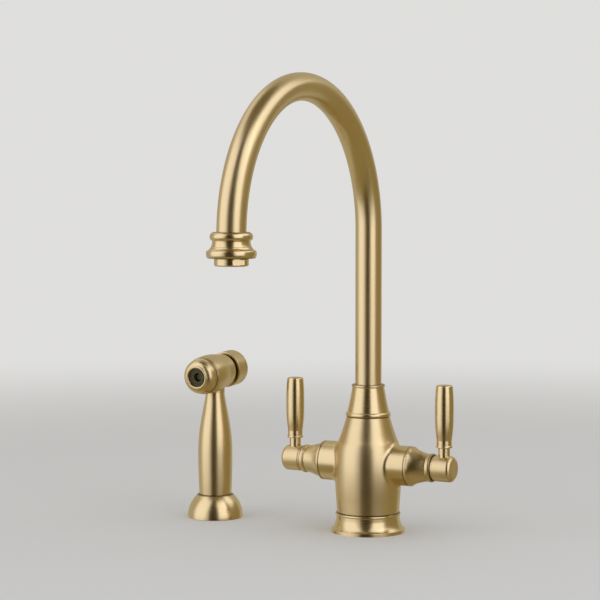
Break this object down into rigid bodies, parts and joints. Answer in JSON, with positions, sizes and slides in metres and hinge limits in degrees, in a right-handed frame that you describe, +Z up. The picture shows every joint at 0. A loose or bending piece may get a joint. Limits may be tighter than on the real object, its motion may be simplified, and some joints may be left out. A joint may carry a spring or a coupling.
{
  "type": "kitchen mixer tap with side spray",
  "caption": "Deck-mounted swan neck kitchen mixer tap in brushed gold, with lever handles on side valves and a separate pull-out hand spray in its own base.",
  "frame": {"origin": "on the vertical axis of the tap, at the top of the sink deck (underside of the base flange)", "axes": "+Z up along the spout leg; -Y towards the spout end and the user; the side spray stands at -X"},
  "size_m": [0.2525, 0.2788, 0.44],
  "materials": {
    "brushed_gold": "satin brushed, pale gold, lacquered",
    "raw_brass": "machined",
    "stainless": "plain",
    "spring_steel": "drawn wire",
    "ceramic": "lapped ceramic",
    "rubber_black": "matt",
    "white_plastic": "matt",
    "rose_dark": "dark, satin"
  },
  "bodies": {
    "tap_body": {"back_nut": "raw_brass", "base_flange": "brushed_gold", "base_seal": "rubber_black", "body": "brushed_gold", "diverter_seat": "raw_brass", "glide_ring": "white_plastic", "guide_bush": "white_plastic", "left_bonnet": "brushed_gold", "left_cartridge_body": "raw_brass", "left_cartridge_seal": "rubber_black", "left_fixed_disc": "ceramic", "mounting_shank": "raw_brass", "retaining_screw": "stainless", "right_bonnet": "brushed_gold", "right_cartridge_body": "raw_brass", "right_cartridge_seal": "rubber_black", "right_fixed_disc": "ceramic", "rubber_washer": "rubber_black", "spray_back_nut": "raw_brass", "spray_base": "brushed_gold", "spray_base_seal": "rubber_black", "spray_shank": "raw_brass", "spray_washer": "rubber_black", "steel_washer": "stainless"},
    "spout": {"spout_tube": "brushed_gold", "spigot": "raw_brass", "spigot_seals": "rubber_black", "upper_collar": "brushed_gold", "spout_end": "brushed_gold", "aerator_housing": "brushed_gold", "aerator_insert": "white_plastic", "aerator_washer": "rubber_black"},
    "left_lever": {"left_hub": "brushed_gold", "left_lever": "brushed_gold", "left_grub_screw": "stainless", "left_spindle": "raw_brass", "left_turning_disc": "ceramic"},
    "right_lever": {"right_hub": "brushed_gold", "right_lever": "brushed_gold", "right_grub_screw": "stainless", "right_spindle": "raw_brass", "right_turning_disc": "ceramic"},
    "hose_coupling": {"hose_coupling": "raw_brass"},
    "spray_handset": {"spray_handle": "brushed_gold", "spray_head": "brushed_gold", "nose_ring": "brushed_gold", "spray_rose": "rose_dark", "rose_plug": "rose_dark", "stem_seal": "rubber_black", "coupling_seal": "rubber_black", "coupling_nut": "raw_brass"},
    "spray_button": {"button_cap": "brushed_gold", "button_stem": "raw_brass", "valve_seal": "rubber_black", "button_spring": "spring_steel"},
    "diverter_piston": {"diverter_piston": "raw_brass", "diverter_spring": "spring_steel"}
  },
  "joints": [
    {"name": "spout_swivel", "type": "hinge", "parent": "tap_body", "child": "spout", "pos_m": [0, 0, 0.0972], "axis": [0, 0, 1], "continuous": true},
    {"name": "left_lever_turn", "type": "hinge", "parent": "tap_body", "child": "left_lever", "pos_m": [-0.0696, 0, 0.0575], "axis": [1, 0, 0], "range_deg": [0, 90]},
    {"name": "right_lever_turn", "type": "hinge", "parent": "tap_body", "child": "right_lever", "pos_m": [0.0696, 0, 0.0575], "axis": [1, 0, 0], "range_deg": [0, 90]},
    {"name": "spray_lift", "type": "slide", "parent": "tap_body", "child": "hose_coupling", "axis": [0, 0, 1], "range_m": [0, 0.15]},
    {"name": "spray_swivel", "type": "hinge", "parent": "hose_coupling", "child": "spray_handset", "pos_m": [-0.1495, 0, 0.017], "axis": [0, 0, 1], "continuous": true},
    {"name": "spray_button_press", "type": "slide", "parent": "spray_handset", "child": "spray_button", "axis": [0, -0.998, -0.0628], "range_m": [0, 0.0035], "stiffness_N_per_m": 1500, "springref_m": -0.004, "deforming": ["button_spring"]},
    {"name": "diverter_slide", "type": "slide", "parent": "tap_body", "child": "diverter_piston", "axis": [0, 0, -1], "range_m": [0, 0.002], "deforming": ["diverter_spring"]}
  ],
  "couplings": [
    {"joint": "diverter_slide", "follows": "spray_button_press", "ratio": 0.57143}
  ]
}
